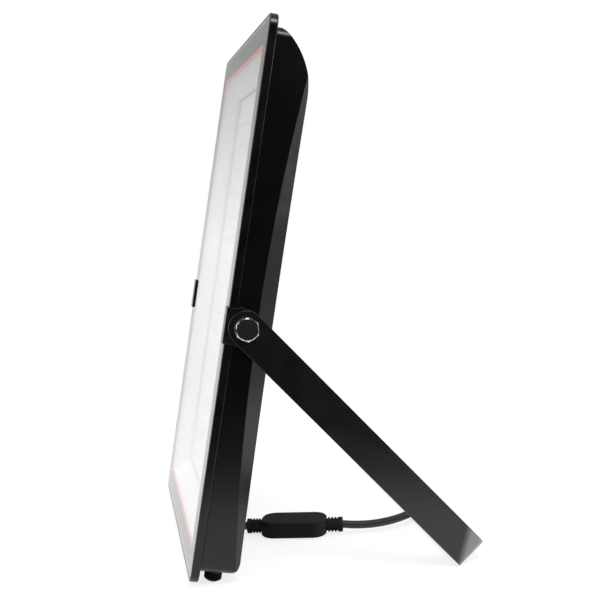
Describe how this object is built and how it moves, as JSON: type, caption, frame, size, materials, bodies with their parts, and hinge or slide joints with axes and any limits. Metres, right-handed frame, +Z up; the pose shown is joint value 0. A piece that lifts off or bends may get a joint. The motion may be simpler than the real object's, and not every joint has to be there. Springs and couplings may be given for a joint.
{
  "type": "led flood light",
  "caption": "Slim LED flood light with a glass front, a round-topped cast housing, a tilting steel U-bracket on side bolts and a short moulded lead, standing on its bracket.",
  "frame": {"origin": "centre of the object's box, without its lead, on the floor that the lamp stands on", "axes": "+Z up from the floor, -Y the way the glass faces, +X to the right of someone facing the glass"},
  "size_m": [0.2638, 0.185, 0.3373],
  "materials": {
    "black_casting": "black powder coat, fine texture",
    "black_frame": "black powder coat",
    "front_glass": "tempered, black printed border",
    "silicone_bead": "matte",
    "gasket": "matte",
    "white_reflector": "matte white",
    "white_board": "white solder mask",
    "phosphor": "satin",
    "chip_epoxy": "satin",
    "nylon_white": "satin",
    "heat_pad": "matte",
    "zinc_screws": "bright zinc",
    "black_clip": "black powder coat",
    "stainless": "bright stainless",
    "black_strip": "black powder coat",
    "black_nylon": "satin",
    "black_rubber": "matte",
    "core_insulation": "satin",
    "lead_jacket": "satin",
    "block_moulding": "satin",
    "tinned_copper": "tinned"
  },
  "bodies": {
    "head": {"housing": "black_casting", "bezel": "black_frame", "glass": "front_glass", "glass_seal": "silicone_bead", "housing_gasket": "gasket", "reflector": "white_reflector", "led_board": "white_board", "led_chips": "phosphor", "driver_parts": "chip_epoxy", "terminal_block": "nylon_white", "thermal_pad": "heat_pad", "board_screws": "zinc_screws", "right_clip": "black_clip", "left_clip": "black_clip", "pivot_bolts": "stainless", "spring_washers": "stainless", "bottom_plugs": "black_nylon", "plug_seals": "gasket", "cable_grommet": "black_rubber", "inner_cores": "core_insulation", "inlet_lead": "lead_jacket", "joint_block": "block_moulding", "outlet_lead": "lead_jacket", "lead_cores": "core_insulation", "core_tips": "tinned_copper"},
    "bracket": {"bracket": "black_strip"}
  },
  "joints": [
    {"name": "bracket_tilt", "type": "hinge", "parent": "head", "child": "bracket", "pos_m": [0, -0.05338, 0.15468], "axis": [1, 0, 0], "range_deg": [-52.8, 127.2]}
  ]
}
